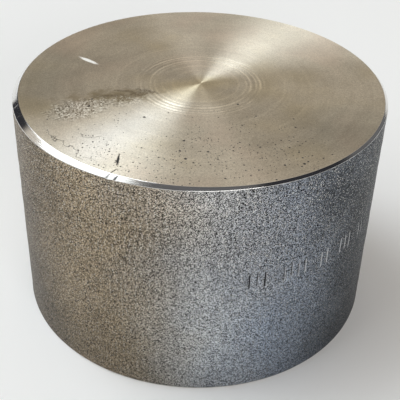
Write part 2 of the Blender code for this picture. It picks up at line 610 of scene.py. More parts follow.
@dataclass(frozen=True)
class TurnedFace(Finish):
    """The faced end: fine concentric cuts, an old stain, a worn patch, pits, a scratch and cracks.

    Scales are features per metre, and depths are in metres. The pits are in full up to the near reach from
    their middle, across the face, and end at the far one, in cap radii. The cut also carries painted
    light: a paler strip along the near bright fan and brightened groove flanks as painted highlights, and
    painted shade at two edges.
    """

    pale: Colour = (0.71, 0.665, 0.57, 1.0)
    dark: Colour = (0.60, 0.55, 0.46, 1.0)
    straw: Colour = (0.63, 0.55, 0.37, 1.0)
    rose: Colour = (0.66, 0.56, 0.47, 1.0)
    tarnish: Colour = (0.36, 0.30, 0.185, 1.0)
    rust: Colour = (0.17, 0.125, 0.07, 1.0)
    soot: Colour = (0.006, 0.005, 0.005, 1.0)
    bare: Colour = (0.95, 0.94, 0.90, 1.0)
    # Colour of the rubbed specks in the worn patch.
    rubbed_and_flank_highlight: Colour = (0.90, 0.85, 0.74, 1.0)
    # Tint of the painted highlight along the near fan.
    fan_highlight_tint: Colour = (0.72, 0.70, 0.66, 1.0)
    # Colour of the painted shade on two edges of the face.
    edge_shade: Colour = (0.78, 0.80, 0.80, 1.0)

    ring_fineness: float = 1900.0
    arc_scale: float = 420.0
    speckle_scale: float = 2600.0
    tint_scale: float = 48.0
    dust_scale: float = 5200.0
    cloud_scale: float = 80.0
    drift_scale: float = 85.0
    waver_scale: float = 330.0
    # Strength of the painted highlight on the groove flanks.
    flank_highlight: float = 0.38
    cut_depth: float = 0.007 * MM
    pit_depth: float = 0.10 * MM

    straw_middle: Blotch = Blotch((-0.02, -0.02), (0.36, 0.13), 0.25, 0.9, 0.9, 160.0)
    # Painted highlight: a paler strip along the near bright fan.
    near_fan_highlight: Blotch = Blotch((-0.42, -0.56), (0.55, 0.24), 0.93, 0.6, 1.0, 160.0)
    # Painted shade at the face's left edge and at its right front.
    shaded_edges: tuple[Blotch, ...] = (
        Blotch((-0.84, 0.02), (0.34, 0.50), 0.0, 0.9, 1.0, 130.0),
        Blotch((0.74, -0.44), (0.42, 0.36), 0.5, 0.9, 1.0, 130.0),
    )
    tarnish_band: Blotch = Blotch((-0.43, -0.165), (0.32, 0.10), 0.12, 1.9, 0.9, 420.0)
    rust_wisps: tuple[Blotch, ...] = (
        Blotch((-0.335, -0.150), (0.10, 0.034), 0.55, 1.6, 0.5, 420.0),
        Blotch((-0.28, -0.105), (0.08, 0.020), -0.35, 1.6, 0.5, 420.0),
        Blotch((-0.45, -0.170), (0.13, 0.022), 0.15, 1.6, 0.5, 420.0),
        Blotch((-0.40, -0.115), (0.07, 0.012), -0.10, 1.6, 0.5, 420.0),
    )
    worn_area: Blotch = Blotch((-0.61, -0.32), (0.21, 0.13), 0.45, 1.1)
    worn_tail: Blotch = Blotch((-0.42, -0.23), (0.20, 0.07), 0.25, 1.6)
    scratch: Blotch = Blotch((-0.630, 0.232), (0.088, 0.017), -0.66, 0.25)
    nicks: tuple[Blotch, ...] = (
        Blotch((-0.371, -0.785), (0.0065, 0.055), -0.03, 1.9, 0.5, 1300.0),
        Blotch((-0.395, -0.895), (0.045, 0.004), 0.9, 0.9, 0.5, 900.0),
    )
    level_crack: HairCrack = HairCrack(
        -0.605, -0.525, 0.15 * MM, 0.9, Blotch((-0.53, -0.565), (0.085, 0.05), 0.05, 0.8))
    skin_edge: HairCrack = HairCrack(
        0.87, 0.97, 0.16 * MM, 0.8, Blotch((-0.60, -0.66), (0.24, 0.10), -0.73, 0.6))
    pit_layers: tuple[PitLayer, ...] = (
        PitLayer(0.7 * MM, 0.13 * MM, 0.40, -0.25, -0.60),
        PitLayer(1.5 * MM, 0.20 * MM, 0.42, -0.25, -0.60),
        PitLayer(3.6 * MM, 0.30 * MM, 0.45, 0.05, -0.50),
    )
    pit_middle: float = -0.05
    pit_reach: tuple[float, float] = (0.50, 0.75)

    def paint(self, canvas: Canvas, shader: Sockets) -> None:
        """Paint the cut steel, its stains and marks, and the tool's fine rings.

        Args:
            canvas: What to draw with.
            shader: The inputs to feed.
        """
        graph = canvas.graph
        rings = canvas.rings(self.ring_fineness, self.arc_scale)
        speckle = graph.noise(canvas.place, self.speckle_scale, 2.0, 0.7)
        colour = self.clean_steel(canvas, rings, speckle)

        tarnished = canvas.patch(self.tarnish_band)
        stained = canvas.patches(self.rust_wisps)
        tail = graph.both(canvas.patch(self.worn_tail), 0.75)
        worn = graph.greatest(canvas.patch(self.worn_area), tail)
        rusty = graph.both(stained, graph.ramp(speckle, 0.40, 0.60, 0.95, 0.40))
        spots = graph.both(worn, graph.ramp(speckle, 0.54, 0.60, 0.0, 0.8))
        glints = graph.both(worn, graph.ramp(speckle, 0.45, 0.39))
        colour = graph.mix(graph.both(tarnished, 0.85), colour, self.tarnish)
        colour = graph.mix(graph.greatest(rusty, spots), colour, self.rust)
        colour = graph.mix(glints, colour, self.rubbed_and_flank_highlight)

        black = self.black_marks(canvas, rings["Radius"])
        scratch = canvas.patch(self.scratch)
        colour = graph.mix(black, colour, self.soot)
        colour = graph.mix(scratch, colour, self.bare)
        graph.put(shader["Base Color"], colour)

        plain = graph.greatest(black, scratch, graph.both(rusty, 0.6), graph.both(glints, 0.5))
        graph.put(shader["Metallic"], graph.math("SUBTRACT", 1.0, plain))
        streak = graph.linear(rings["Streak"], 0.3, 0.7, self.roughness + 0.02, self.roughness - 0.02)
        dull = graph.greatest(stained, worn)
        graph.put(shader["Roughness"], graph.weighted((streak, 1.0), (dull, 0.1)))

        cuts = graph.weighted((rings["Height"], 0.4), (rings["Streak"], 0.4), (speckle, 0.5))
        normal = graph.bump(cuts, self.cut_depth)
        dents = graph.weighted((black, 1.0), (graph.both(worn, speckle), 0.8))
        normal = graph.bump(graph.math("SUBTRACT", 1.0, dents), self.pit_depth, normal)
        graph.put(shader["Normal"], normal)

    def clean_steel(self, canvas: Canvas, rings: Sockets, speckle: Socket) -> Socket:
        """The bare cut: two tones of steel in faint arcs, with cloudy tints, painted shade at two edges, a
        painted highlight along the near fan and painted highlights on the groove flanks.

        Args:
            canvas: What to draw with.
            rings: The tool marks.
            speckle: Fine noise.

        Returns:
            The colour.
        """
        graph = canvas.graph
        tone = graph.weighted((rings["Streak"], 0.3), (rings["Height"], 0.15), (speckle, 0.55))
        colour = graph.mix(graph.ramp(tone, 0.34, 0.66), self.dark, self.pale)
        tint = graph.noise(canvas.place, self.tint_scale, 2.0, 0.5)
        colour = graph.mix(graph.ramp(tint, 0.50, 0.70, 0.0, 0.5), colour, self.straw)
        colour = graph.mix(graph.ramp(tint, 0.50, 0.32, 0.0, 0.5), colour, self.rose)
        colour = graph.mix(graph.both(canvas.patch(self.straw_middle), 0.7), colour, self.straw)
        # Painted highlight: a paler, less yellow strip along the near bright fan.
        colour = graph.mix(graph.both(canvas.patch(self.near_fan_highlight), 0.75), colour, self.fan_highlight_tint)
        # Painted shade on two edges of the face.
        edge_shaded = graph.both(canvas.patches(self.shaded_edges), 0.8)
        colour = graph.mix(edge_shaded, colour, self.edge_shade, "MULTIPLY")
        dust = graph.noise(canvas.place, self.dust_scale, 1.0)
        colour = graph.scaled(colour, graph.linear(dust, 0.35, 0.65, 0.90, 1.10))
        cloud = graph.noise(canvas.place, self.cloud_scale, 4.0, 0.6)
        colour = graph.scaled(colour, graph.linear(cloud, 0.3, 0.7, 0.88, 1.10))
        # Painted highlight where the groove flanks catch the light.
        rubbed_and_flank_highlight = graph.weighted((self.flank_highlights(canvas, rings), self.flank_highlight), start=1.0)
        return graph.scaled(colour, rubbed_and_flank_highlight)

    @staticmethod
    def flank_highlights(canvas: Canvas, rings: Sockets) -> Socket:
        """Painted highlight on the inner flanks of the tool grooves, which comes and goes round the turn.

        Args:
            canvas: What to draw with.
            rings: The tool marks.

        Returns:
            The flanks' mask.
        """
        graph = canvas.graph
        flanks: list[Socket] = []
        for groove in FACE_GROOVES:
            flank = groove.place * canvas.radius - groove.half_width
            away = graph.math("ABSOLUTE", graph.math("SUBTRACT", rings["Radius"], flank))
            strength = groove.depth / DEEPEST_GROOVE
            flanks.append(graph.ramp(away, groove.half_width, 0.2 * groove.half_width, 0.0, strength))
        arcs = graph.ramp(rings["Streak"], 0.36, 0.56, 0.35, 1.0)
        return graph.both(graph.greatest(*flanks), arcs)

    def black_marks(self, canvas: Canvas, distance: Socket) -> Socket:
        """Pits in drifts towards the front, two nicks, a crack and the broken edge of the skin.

        Args:
            canvas: What to draw with.
            distance: The distance from the axis.

        Returns:
            The marks' mask.
        """
        graph, radius = canvas.graph, canvas.radius
        x, y, _ = graph.split(canvas.place)
        near, far = self.pit_reach
        off_middle = graph.math("ABSOLUTE", graph.weighted((x, 1.0), start=-self.pit_middle * radius))
        central = graph.ramp(off_middle, far * radius, near * radius)
        drift = graph.noise(canvas.place, self.drift_scale, 3.0, 0.7)
        drift = graph.linear(drift, 0.40, 0.60, 0.05, 1.15)
        marks: list[Socket] = [canvas.patches(self.nicks)]
        for layer in self.pit_layers:
            forward = graph.ramp(y, layer.start * radius, layer.thickest * radius, 0.0, layer.share)
            share = graph.both(graph.both(forward, central), drift)
            marks.append(canvas.pits(layer.spacing, layer.size, share))
        waver = graph.noise(canvas.place, self.waver_scale, 3.0, 0.6)
        marks.append(canvas.hair_crack(self.level_crack, waver, y))
        marks.append(canvas.hair_crack(self.skin_edge, waver, distance))
        return graph.greatest(*marks)


@dataclass(frozen=True)
class TurnedChamfer(Finish):
    """The bright chamfer: a polished cut with fine rings."""

    steel: Colour = (0.86, 0.85, 0.83, 1.0)
    dark: Colour = (0.66, 0.65, 0.63, 1.0)
    ring_fineness: float = 4000.0
    arc_scale: float = 900.0
    cut_depth: float = 0.008 * MM

    def paint(self, canvas: Canvas, shader: Sockets) -> None:
        """Paint the cone's two tones and the tool's fine rings.

        Args:
            canvas: What to draw with.
            shader: The inputs to feed.
        """
        graph = canvas.graph
        rings = canvas.rings(self.ring_fineness, self.arc_scale)
        colour = graph.mix(graph.ramp(rings["Streak"], 0.3, 0.6), self.dark, self.steel)
        graph.put(shader["Base Color"], colour)
        rough = graph.linear(rings["Streak"], 0.3, 0.7, self.roughness + 0.06, self.roughness - 0.04)
        graph.put(shader["Roughness"], rough)
        graph.put(shader["Normal"], graph.bump(rings["Height"], self.cut_depth))


@dataclass(frozen=True)
class BlastedWall(Finish):
    """The outside wall: sharp blasted grain, brown on one side and cool grey on the other.

    The shaded tones are placed across the cap from left to right: brown on the left and cool grey on the
    right, darkening towards both sides as painted shade, most on the right. Painted glints and a painted
    reflection of the floor, low on the right, lie over them. Scales are features per metre. The grain's
    contrast is what the darkest and the lightest grain add to a brightness of 1. It is weaker at the
    mouth, and full from a height given in cap radii.
    """

    # Brown on the left to cool grey on the right; the dark ends are painted shade.
    shaded_tones: tuple[tuple[float, Colour], ...] = (
        (0.05, (0.112, 0.091, 0.066, 1.0)),
        (0.27, (0.190, 0.154, 0.108, 1.0)),
        (0.52, (0.184, 0.182, 0.180, 1.0)),
        (0.72, (0.122, 0.133, 0.152, 1.0)),
        (0.93, (0.037, 0.041, 0.047, 1.0)),
    )
    # Colour of the painted glints: bright points that stand in for the grain's sparkle.
    painted_glint: Colour = (0.80, 0.78, 0.73, 1.0)
    # Painted reflection of the pale floor, multiplied in low on the right.
    painted_floor_reflection: Colour = (1.58, 1.66, 1.74, 1.0)
    # Bright struck metal of the bars' flanks, and dark scale with painted shade in their deepest lines.
    struck: Colour = (0.44, 0.445, 0.455, 1.0)
    scale: Colour = (0.020, 0.020, 0.022, 1.0)
    grain_scale: float = 8800.0
    grain_depth: float = 0.04 * MM
    grain_contrast: tuple[float, float] = (-2.8, 3.4)
    darkest_grain: float = 0.08
    contrast_at_mouth: float = 0.40
    contrast_height: float = 1.2
    painted_glint_share: float = 0.9
    cloud_scale: float = 55.0
    smudge_scale: float = 32.0
    smudge_range: tuple[float, float] = (0.68, 0.95)
    # How much of the painted shade on the right is taken back towards the back.
    far_right_lift: float = 0.8

    def paint(self, canvas: Canvas, shader: Sockets) -> None:
        """Paint the wall's tones, grain and punched bars.

        Args:
            canvas: What to draw with.
            shader: The inputs to feed.
        """
        graph = canvas.graph
        grain = canvas.grain(self.grain_scale)
        punched = graph.add("ShaderNodeAttribute", attribute_name=PUNCHED).outputs["Fac"]
        colour = self.grained(canvas, self.ground(canvas), grain)
        graph.put(shader["Base Color"], self.marked(canvas, colour, punched))
        rough = graph.linear(grain["Tone"], 0.35, 0.65, self.roughness + 0.08, self.roughness - 0.08)
        graph.put(shader["Roughness"], rough)
        uneven = graph.both(grain["Height"], graph.math("SUBTRACT", 1.0, punched))
        graph.put(shader["Normal"], graph.bump(uneven, self.grain_depth))

    def ground(self, canvas: Canvas) -> Socket:
        """The wall's colour without its grain.

        The shaded tones run across the wall from brown to dark grey, with cloudy borders; their darkening
        towards both sides is painted shade. A cool painted reflection of the floor lies low on the right,
        the far right towards the back is lighter, which takes back some of the painted shade there, and
        broad smudges darken the whole.

        Args:
            canvas: What to draw with.

        Returns:
            The colour.
        """
        graph, radius = canvas.graph, canvas.radius
        x, y, z = graph.split(canvas.place)
        cloud = graph.noise(canvas.place, self.cloud_scale, 3.0, 0.55)
        across = graph.weighted((x, 0.5 / radius), (cloud, 0.3), start=0.35)
        # Painted shade: these tones darken towards both sides of the cap, most on the right.
        colour = graph.colour_ramp(across, self.shaded_tones)
        # Painted reflection of the floor: a cool lightening low on the right.
        rightward = graph.both(graph.ramp(x, -0.5 * radius, 0.1 * radius),
                               graph.ramp(x, radius, 0.6 * radius, 0.5, 1.0))
        low_right_reflection = graph.both(graph.ramp(z, radius, 0.25 * radius), rightward)
        colour = graph.mix(low_right_reflection, colour, self.painted_floor_reflection, "MULTIPLY")
        # Lighter towards the back on the right, which takes back some of the painted shade there.
        backward = graph.ramp(y, -0.35 * radius, 0.3 * radius)
        far_right = graph.both(backward, graph.ramp(x, 0.0, 0.7 * radius))
        lift = graph.weighted((far_right, self.far_right_lift), start=1.0)
        colour = graph.scaled(colour, lift)
        smudge = graph.noise(canvas.place, self.smudge_scale, 3.0, 0.55)
        return graph.scaled(colour, graph.linear(smudge, 0.35, 0.62, *self.smudge_range))

    def grained(self, canvas: Canvas, colour: Socket, grain: Sockets) -> Socket:
        """Grain and painted glints over a colour, weaker towards the mouth.

        Args:
            canvas: What to draw with.
            colour: The colour underneath.
            grain: The grain.

        Returns:
            The grained colour.
        """
        graph = canvas.graph
        _, _, z = graph.split(canvas.place)
        height = self.contrast_height * canvas.radius
        contrast = graph.linear(z, 0.0, height, self.contrast_at_mouth, 1.0)
        tone = graph.linear(grain["Tone"], 0.34, 0.66, *self.grain_contrast)
        shading = graph.greatest(graph.weighted((tone, contrast), start=1.0), self.darkest_grain)
        # Painted glints: bright points that stand in for the sparkle of the grain's facets.
        glints = graph.both(grain["Glint"], graph.both(contrast, self.painted_glint_share))
        return graph.mix(glints, graph.scaled(colour, shading), self.painted_glint)

    def marked(self, canvas: Canvas, colour: Socket, punched: Socket) -> Socket:
        """The punched bars over a colour.

        Their flanks are bright metal and their deepest lines hold dark scale, with painted shade in the
        groove. Towards the right the flanks get brighter and the dark thinner, which is painted light.

        Args:
            canvas: What to draw with.
            colour: The colour underneath.
            punched: How far into a bar a place is.

        Returns:
            The marked colour.
        """
        graph, radius = canvas.graph, canvas.radius
        x = graph.split(canvas.place)[0]
        start, end = 0.3 * radius, 0.7 * radius
        # Painted light: the struck flanks get brighter and the dark fill thinner towards the right.
        bright = graph.both(graph.ramp(punched, 0.0, 0.3), graph.ramp(x, start, end, 0.5, 1.0))
        colour = graph.mix(bright, colour, self.struck)
        filled = graph.math("SUBTRACT", punched, graph.ramp(x, start, end, 0.22, 0.55))
        return graph.mix(graph.ramp(filled, 0.0, 0.22), colour, self.scale)


@dataclass(frozen=True)
class CutSteel(Finish):
    """The rim, the bore and the thread: bare cut steel with a trace of oil and rust."""

    steel: Colour = (0.42, 0.40, 0.37, 1.0)
    stained: Colour = (0.20, 0.17, 0.13, 1.0)
    fineness: float = 2500.0
    arc_scale: float = 500.0
    grain_scale: float = 1500.0
    blotch_scale: float = 130.0
    cut_depth: float = 0.02 * MM

    def paint(self, canvas: Canvas, shader: Sockets) -> None:
        """Paint stained steel with the tool's rings.

        Args:
            canvas: What to draw with.
            shader: The inputs to feed.
        """
        graph = canvas.graph
        rings = canvas.rings(self.fineness, self.arc_scale)
        grain = canvas.grain(self.grain_scale)
        blotch = graph.noise(canvas.place, self.blotch_scale, 4.0, 0.6)
        colour = graph.mix(graph.ramp(blotch, 0.45, 0.70), self.steel, self.stained)
        colour = graph.scaled(colour, graph.linear(rings["Streak"], 0.3, 0.7, 0.75, 1.2))
        colour = graph.scaled(colour, graph.linear(grain["Tone"], 0.35, 0.65, 0.85, 1.15))
        graph.put(shader["Base Color"], colour)
        rough = graph.linear(blotch, 0.4, 0.7, self.roughness - 0.05, self.roughness + 0.2)
        graph.put(shader["Roughness"], rough)
        graph.put(shader["Normal"], graph.bump(rings["Height"], self.cut_depth))


# ---------------------------------------------------------------------------
# The cap
# ---------------------------------------------------------------------------


@dataclass(frozen=True)
class PipeThread:
    """Internal taper pipe thread, right hand, 60 degrees, of the 2 in size."""

    pitch: float = 25.4 * MM / 11.5
    mean_diameter: float = 58.325 * MM
    taper: float = 1.0 / 16.0
    height_in_pitches: float = 0.8
    length: float = 25.0 * MM
    lead: float = 3.0 * MM

    @property
    def height(self) -> float:
        """How deep the thread's groove is."""
        return self.height_in_pitches * self.pitch

    @property
    def flank(self) -> float:
        """One flank's length along the axis, in pitches."""
        return self.height_in_pitches * math.tan(math.radians(30.0))

    @property
    def flat(self) -> float:
        """The narrow flat on the crest, and that in the root, in pitches."""
        return 0.5 - self.flank

    def mean_radius(self, depth: np.ndarray) -> np.ndarray:
        """The pitch cone's radius at a depth from the mouth."""
        return 0.5 * (self.mean_diameter - self.taper * depth)

    def radius(self, angle: np.ndarray, depth: np.ndarray) -> np.ndarray:
        """The thread's wall.

        Its form is a triangle wave of the phase (depth in pitches less the turn), cut flat at the
        crest and at the root. It is added to the pitch cone's radius.

        Args:
            angle: Angles round the axis.
            depth: Depths from the mouth.

        Returns:
            The wall's radius.
        """
        phase = np.mod(depth / self.pitch - angle / FULL_TURN, 1.0)
        from_crest = np.abs(phase - 0.5 * self.flat)
        from_crest = np.minimum(from_crest, 1.0 - from_crest)
        rise = np.clip((from_crest - 0.5 * self.flat) / self.flank, 0.0, 1.0)
        return self.mean_radius(depth) + self.height * (rise - 0.5)

    def row_places(self) -> np.ndarray:
        """Where one pitch of the form needs rows: at its four bends and just beside them.

        Returns:
            The places, in pitches, rising.
        """
        beside = 0.05
        return np.array([
            0.0, self.flat, self.flat + beside, self.flat + 0.5 * self.flank,
            self.flat + self.flank - beside, self.flat + self.flank,
            2.0 * self.flat + self.flank, 2.0 * self.flat + self.flank + beside,
            2.0 * self.flat + 1.5 * self.flank, 1.0 - beside,
        ])


@dataclass(frozen=True)
class PunchedMark:
    """A plain row of upright punched bars in groups, cut a little into the wall."""

    first_angle: float = math.radians(285.5)
    last_angle: float = math.radians(331.0)
    bars_in_groups: tuple[int, ...] = (3, 4, 2, 3, 2)
    gap_in_bars: float = 1.6
    middle: float = 27.6 * MM
    tall: float = 3.8 * MM
    half_width: float = 0.24 * MM
    deepest: float = -0.4
    depth: float = 0.32 * MM
    lightest_blow: float = 0.55
    stray: float = 0.35 * MM
    end_slope: float = 0.4 * MM
    seed: int = 11

    def bar_angles(self) -> np.ndarray:
        """The angle of each bar: evenly spaced, with a wider gap between groups.

        Returns:
            The angles, rising.
        """
        places = []
        place = 0.0
        for count in self.bars_in_groups:
            places += [place + step for step in range(count)]
            place += count - 1 + 1.0 + self.gap_in_bars
        share = np.array(places) / places[-1]
        return self.first_angle + share * (self.last_angle - self.first_angle)

    def columns(self, radius: float) -> np.ndarray:
        """Angles where the mesh needs columns, four for each bar.

        Args:
            radius: The wall's radius.

        Returns:
            The angles, in no order.
        """
        edge = self.half_width / radius
        steps = np.array([-1.0, self.deepest, 0.3, 1.0]) * edge
        return (self.bar_angles()[:, None] + steps[None, :]).ravel()

    def cut(self, angle: np.ndarray, height: np.ndarray, radius: float) -> np.ndarray:
        """How deep the mark is.

        Across its width each bar is a steep flank and a gentler one, which meet at its deepest
        line. That is times a slope at its two ends. Height and depth differ a little from bar to
        bar, as with a hand punch.

        Args:
            angle: Angles round the axis.
            height: Heights above the mouth.
            radius: The wall's radius.

        Returns:
            The depth of the groove, 0 outside the bars.
        """
        chance = np.random.default_rng(self.seed)
        depth = np.zeros(np.broadcast(angle, height).shape)
        for bar in self.bar_angles():
            middle = self.middle + chance.uniform(-self.stray, self.stray)
            strength = chance.uniform(self.lightest_blow, 1.0)
            across = (angle - bar) * radius / self.half_width
            steep = (across + 1.0) / (self.deepest + 1.0)
            gentle = (1.0 - across) / (1.0 - self.deepest)
            groove = np.clip(np.minimum(steep, gentle), 0.0, 1.0)
            from_end = 0.5 * self.tall - np.abs(height - middle)
            end = np.clip(from_end / self.end_slope, 0.0, 1.0)
            depth = np.maximum(depth, self.depth * strength * groove * end)
        return depth

    def share(self, points: np.ndarray, radius: float) -> np.ndarray:
        """How far into a bar each point of the wall is, from 0 to 1."""
        angle = np.mod(np.arctan2(points[:, 1], points[:, 0]), FULL_TURN)
        return self.cut(angle, points[:, 2], radius) / self.depth


@dataclass(frozen=True)
class Nick:
    """A small dent in the chamfer: where round the turn, how wide and how deep."""

    angle: float
    half_width: float
    depth: float

    def dent(self, angle: np.ndarray, radius: float) -> np.ndarray:
        """The dent's depth at some angles: a bell curve of the distance round the turn."""
        away = (angle - self.angle) * radius / self.half_width
        return self.depth * np.exp(-(away**2))

    def columns(self, radius: float) -> np.ndarray:
        """Angles where the mesh needs columns for it."""
        steps = np.array([-1.8, -0.9, 0.0, 0.9, 1.8])
        return self.angle + steps * self.half_width / radius


@dataclass(frozen=True)
class Fineness:
    """How many rings each part of the surface has, and how many even columns go round it.

    Where two parts meet, the ring that they share is counted in both.
    """

    columns: int = 168
    hole_end: int = 14
    hole_corner: int = 9
    hole_side: int = 8
    rim: int = 22
    below_mark: int = 22
    across_mark: int = 20
    above_mark: int = 18
    outer_face: int = 44
    grooved_face: int = 46
    inner_face: int = 16
    dimple: int = 10


@dataclass(frozen=True)
class Waves:
    """Waves that make a surface uneven: how many, their most whole waves a turn, the shortest length."""

    count: int
    turns: int
    shortest: float


@dataclass(frozen=True)
class Unevenness:
    """How far the surfaces stray from their true shape, in metres.

    The wall dips in slow waves that fade out towards the mouth's edge. The chamfer's foot wavers.
    The rim has fine turned rings. The face has slow waves a few millimetres long, whose depth is
    given for a wave of 1 mm.
    """

    wall_dip: float = 0.030 * MM
    deepest_dip: float = 0.09 * MM
    wall_waves: Waves = Waves(14, 14, 4.0 * MM)
    fade: float = 1.5 * MM
    chamfer_foot: float = 0.05 * MM
    foot_waves: Waves = Waves(5, 9, 1.0)
    rim_depth: float = 0.006 * MM
    rim_feed: float = 0.11 * MM
    face_depth: float = 0.0011 * MM
    face_waves: tuple[float, float] = (1.3, 5.0)
    face_wave_count: int = 9


def corners(*points: np.ndarray) -> np.ndarray:
    """One row of point indices for each face, from its corners in order."""
    return np.stack(points, axis=-1).reshape(-1, len(points))


@dataclass
class CapBody:
    """The whole cap as one closed surface of revolution, with its thread on a helix."""

    radius: float
    length: float
    thread: PipeThread = field(default_factory=PipeThread)
    mark: PunchedMark = field(default_factory=PunchedMark)
    hole_depth: float = 36.0 * MM
    corner_radius: float = 3.0 * MM
    bore_relief: float = 0.3 * MM
    countersink_standoff: float = 0.7 * MM
    mouth_edge: float = 0.6 * MM
    chamfer: float = 1.1 * MM
    chamfer_centre: tuple[float, float] = (0.35 * MM, -0.5 * MM)
    chamfer_shares: np.ndarray = field(
        default_factory=lambda: np.array([0.04, 0.10, 0.30, 0.50, 0.70, 0.90, 1.0]))
    nicks: tuple[Nick, ...] = (
        Nick(math.radians(196.0), 0.40 * MM, 0.07 * MM),
        Nick(math.radians(203.0), 0.35 * MM, 0.10 * MM),
        Nick(math.radians(246.0), 0.45 * MM, 0.20 * MM),
        Nick(math.radians(248.2), 0.30 * MM, 0.16 * MM),
    )
    dent_at_foot: float = 0.6
    dent_on_cone: float = 0.7
    dimple_depth: float = 0.10 * MM
    dimple_half_width: float = 0.55 * MM
    grooved_band: tuple[float, float] = (0.235, 0.365)
    uneven: Unevenness = Unevenness()
    fine: Fineness = Fineness()
    closest_columns: float = 0.2 * MM
    seed: int = 5

    def __post_init__(self) -> None:
        """Work out the sizes that follow from the others, and the mesh's columns."""
        end = np.array(self.thread.length)
        crest_at_end = float(self.thread.mean_radius(end)) - 0.5 * self.thread.height
        self.bore_radius = crest_at_end - self.bore_relief
        root_at_mouth = 0.5 * (self.thread.mean_diameter + self.thread.height)
        self.countersink_radius = root_at_mouth + self.countersink_standoff
        even = np.arange(self.fine.columns) * (FULL_TURN / self.fine.columns)
        extra = np.concatenate([self.mark.columns(self.radius)]
                               + [nick.columns(self.radius) for nick in self.nicks])
        gap = np.abs(even[:, None] - extra[None, :]).min(axis=1) * self.radius
        self.angles = np.sort(np.concatenate((even[gap >= self.closest_columns], extra)))
        self.columns = len(self.angles)

    def wave(self, angle: np.ndarray, along: np.ndarray, waves: Waves, seed: int) -> np.ndarray:
        """Smooth unevenness: a sum of sine waves with random directions, lengths and phases.

        Args:
            angle: Angles round the axis.
            along: Distances along the surface.
            waves: How many waves and how short they get.
            seed: Which waves.

        Returns:
            Values of about -1 to 1.
        """
        chance = np.random.default_rng(seed)
        total = np.zeros(np.broadcast(angle, along).shape)
        for _ in range(waves.count):
            round_turn = chance.integers(-waves.turns, waves.turns + 1)
            length = waves.shortest * chance.uniform(1.0, 6.0)
            phase = chance.uniform(0.0, FULL_TURN)
            total += np.sin(round_turn * angle + FULL_TURN * along / length + phase)
        return total / math.sqrt(waves.count)

    def hole_rows(self) -> np.ndarray:
        """Rings from the middle of the hole's end out to its side and down to the thread.

        Returns:
            Points by row and column.
        """
        flat_radius = self.bore_radius - self.corner_radius
        side_top = self.hole_depth - self.corner_radius
        clear_turns, innermost = 1.15, 0.04
        side_foot = self.thread_top + clear_turns * self.thread.pitch
        flat = np.linspace(innermost, 1.0, self.fine.hole_end)[:-1] * flat_radius
        turn = np.radians(np.linspace(90.0, 0.0, self.fine.hole_corner))
        side = np.linspace(side_top, side_foot, self.fine.hole_side)[1:]
        corner_radii = flat_radius + self.corner_radius * np.cos(turn)
        corner_heights = side_top + self.corner_radius * np.sin(turn)
        radii = np.concatenate((flat, corner_radii, np.full(len(side), self.bore_radius)))
        heights = np.concatenate((np.full(len(flat), self.hole_depth), corner_heights, side))
        return self.circles(radii, heights)

    @property
    def thread_top(self) -> float:
        """The height where the thread's rows start, past the end of its lead."""
        return self.thread.length + self.thread.lead

    def circles(self, radii: np.ndarray, heights: np.ndarray) -> np.ndarray:
        """Level circles.

        Args:
            radii: Each circle's radius, or radii by row and column.
            heights: Each circle's height, or heights by row and column.

        Returns:
            Points by row and column.
        """
        shape = (len(radii), self.columns)
        wide = np.broadcast_to(radii if np.ndim(radii) == 2 else radii[:, None], shape)
        high = np.broadcast_to(heights if np.ndim(heights) == 2 else heights[:, None], shape)
        return np.stack((wide * np.cos(self.angles), wide * np.sin(self.angles), high), axis=-1)

    def thread_rows(self) -> np.ndarray:
        """Rows that follow the helix, from the deep end of the thread to the mouth.

        A row climbs one pitch in a turn, so that it runs on into the row one pitch deeper. Near
        the mouth the rows crowd together above the rim instead of crossing it: their height is
        mostly the square of their share of the way. The wall's radius is the thread's, cut off
        by the lead and the bore at one end and widened by the countersink at the other.

        Returns:
            Points by row and column.
        """
        pitch = self.thread.pitch
        places = self.thread.row_places()
        turns = math.ceil((self.thread_top + pitch) / pitch) + 1
        lines = (np.arange(-1, turns)[:, None] + places[None, :]).ravel()
        lines = np.sort(lines)[::-1]
        lines = lines[(lines >= -1.0) & (lines * pitch <= self.thread_top)]
        climbing = pitch * (lines[:, None] + self.angles[None, :] / FULL_TURN)
        nearest = 0.06 * MM
        share = (climbing + pitch) / (2.0 * pitch)
        crowded = nearest + (pitch - nearest) * (0.15 * share + 0.85 * share**2)
        height = np.where(climbing < pitch, crowded, climbing)
        wall = self.thread.radius(self.angles[None, :], height)
        mean_at_end = float(self.thread.mean_radius(np.array(self.thread.length)))
        root_at_end = mean_at_end + 0.5 * self.thread.height
        shrink = (root_at_end - self.bore_radius) / self.thread.lead
        wall = np.minimum(wall, root_at_end - shrink * (height - self.thread.length))
        wall = np.maximum(wall, self.bore_radius)
        wall = np.maximum(wall, self.countersink_radius - height)
        return self.circles(wall, height)

    def rim_rows(self) -> np.ndarray:
        """The countersink's edge, the rim and the broken outer edge of the mouth.

        Returns:
            Points by row and column.
        """
        inner, outer = self.countersink_radius, self.radius - self.mouth_edge
        flat_start, flat_end = inner + 0.05 * MM, outer - 0.08 * MM
        lip_radius, lip_height = inner - 0.01 * MM, 0.02 * MM
        flat = np.linspace(flat_start, flat_end, self.fine.rim)
        turned = self.uneven.rim_depth * (1.0 + np.sin(flat / self.uneven.rim_feed))
        turned[0] = turned[-1] = 0.0
        corner = np.radians(np.array([0.0, 22.0, 45.0, 68.0]))
        corner_radii = outer + self.mouth_edge * np.sin(corner)
        corner_heights = self.mouth_edge * (1.0 - np.cos(corner))
        radii = np.concatenate(([lip_radius], flat, corner_radii))
        heights = np.concatenate(([lip_height], turned, corner_heights))
        return self.circles(radii, heights)

